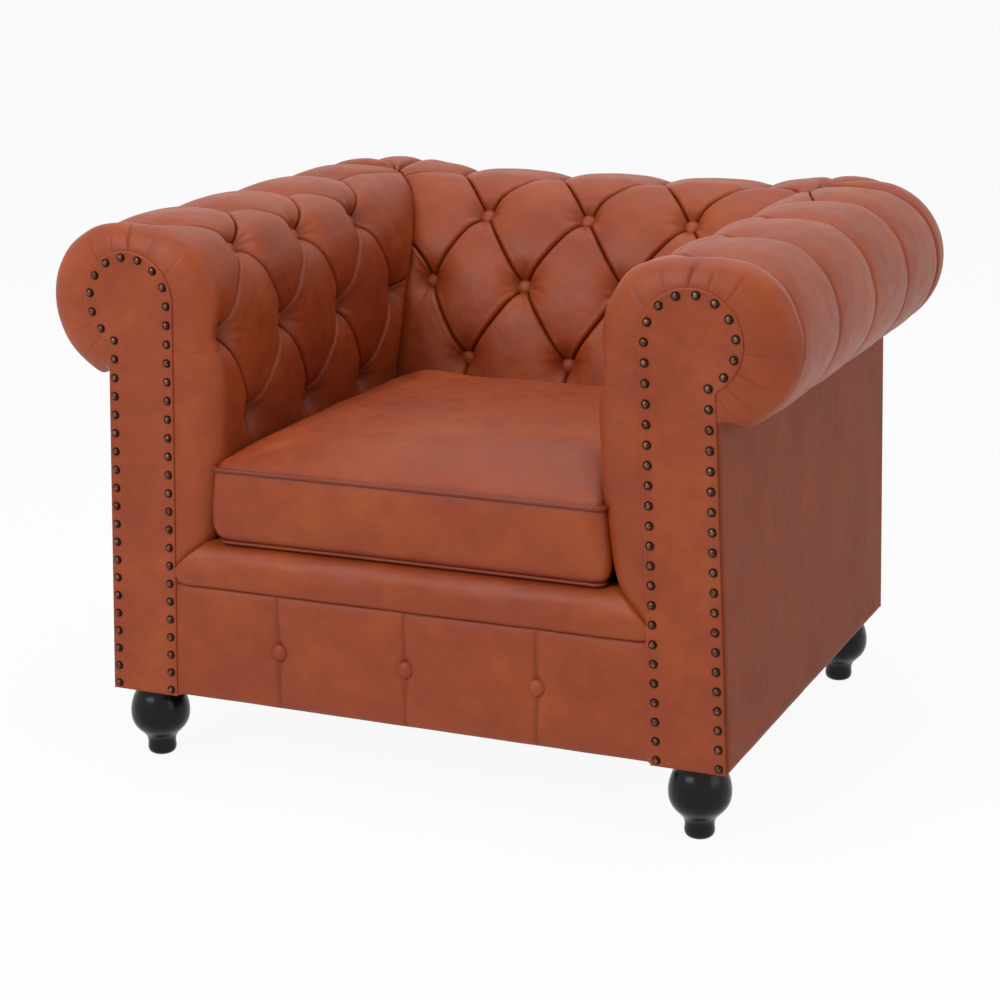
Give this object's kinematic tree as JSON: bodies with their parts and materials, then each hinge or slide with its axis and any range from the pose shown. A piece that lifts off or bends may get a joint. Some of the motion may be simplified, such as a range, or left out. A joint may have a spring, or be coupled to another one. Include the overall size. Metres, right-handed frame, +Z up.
{
  "type": "armchair",
  "caption": "Low armchair with rolled arms, a deep-buttoned back and arms, a loose boxed seat cushion, nail-trimmed scroll facings and turned bun feet.",
  "frame": {"origin": "centre of the footprint on the floor", "axes": "+X to the right of someone facing the chair, the chair faces -Y, +Z up"},
  "size_m": [1.05, 0.9, 0.75],
  "materials": {
    "leather": "semi-matte tan leather, lightly grained",
    "leather_outside": "duller tan leather, pulled flat",
    "frame_wood": "sawn hardwood, hidden",
    "board": "thin board, hidden",
    "nail_brass": "antiqued brass",
    "steel": "plain steel",
    "cloth": "dark woven cloth",
    "foam": "foam and felt",
    "foot_wood": "near-black stained and lacquered",
    "glide_plastic": "black",
    "zip_tape": "brown woven tape",
    "zip_metal": "antiqued brass"
  },
  "bodies": {
    "chair": {"back_buttons": "leather", "back_inner_panel": "board", "back_pad": "leather", "back_ribs": "frame_wood", "back_roll_former": "board", "back_top_rail": "frame_wood", "corner_blocks": "frame_wood", "dust_cover": "cloth", "foot_bolts": "steel", "foot_glides": "glide_plastic", "frame_dowels": "frame_wood", "frame_screws": "steel", "front_border": "leather", "front_buttons": "leather", "front_left_foot": "foot_wood", "front_rail": "frame_wood", "front_right_foot": "foot_wood", "left_arm_buttons": "leather", "left_arm_facing": "leather", "left_arm_front_board": "frame_wood", "left_arm_inner_panel": "board", "left_arm_pad": "leather", "left_arm_ribs": "frame_wood", "left_arm_roll_former": "board", "left_arm_top_rail": "frame_wood", "left_corner_pad": "leather", "left_facing_nails": "nail_brass", "left_outside_arm_board": "board", "left_outside_arm_leather": "leather_outside", "left_side_rail": "frame_wood", "outside_back_board": "board", "outside_back_leather": "leather_outside", "rear_left_foot": "foot_wood", "rear_rail": "frame_wood", "rear_right_foot": "foot_wood", "right_arm_buttons": "leather", "right_arm_facing": "leather", "right_arm_front_board": "frame_wood", "right_arm_inner_panel": "board", "right_arm_pad": "leather", "right_arm_ribs": "frame_wood", "right_arm_roll_former": "board", "right_arm_top_rail": "frame_wood", "right_corner_pad": "leather", "right_facing_nails": "nail_brass", "right_outside_arm_board": "board", "right_outside_arm_leather": "leather_outside", "right_side_rail": "frame_wood", "seat_deck": "foam", "seat_lip": "leather", "seat_springs": "steel", "spring_clips": "steel", "spring_cloth": "cloth"},
    "cushion": {"cushion_cover": "leather", "cushion_core": "foam", "cushion_piping": "leather", "cushion_zip": "zip_tape"},
    "zip_slider": {"zip_slider": "zip_metal"}
  },
  "joints": [
    {"name": "cushion_pull", "type": "slide", "parent": "chair", "child": "cushion", "axis": [0, -1, 0], "range_m": [0, 0.56]},
    {"name": "zip_run", "type": "slide", "parent": "cushion", "child": "zip_slider", "axis": [-1, 0, 0], "range_m": [0, 0.398]}
  ]
}
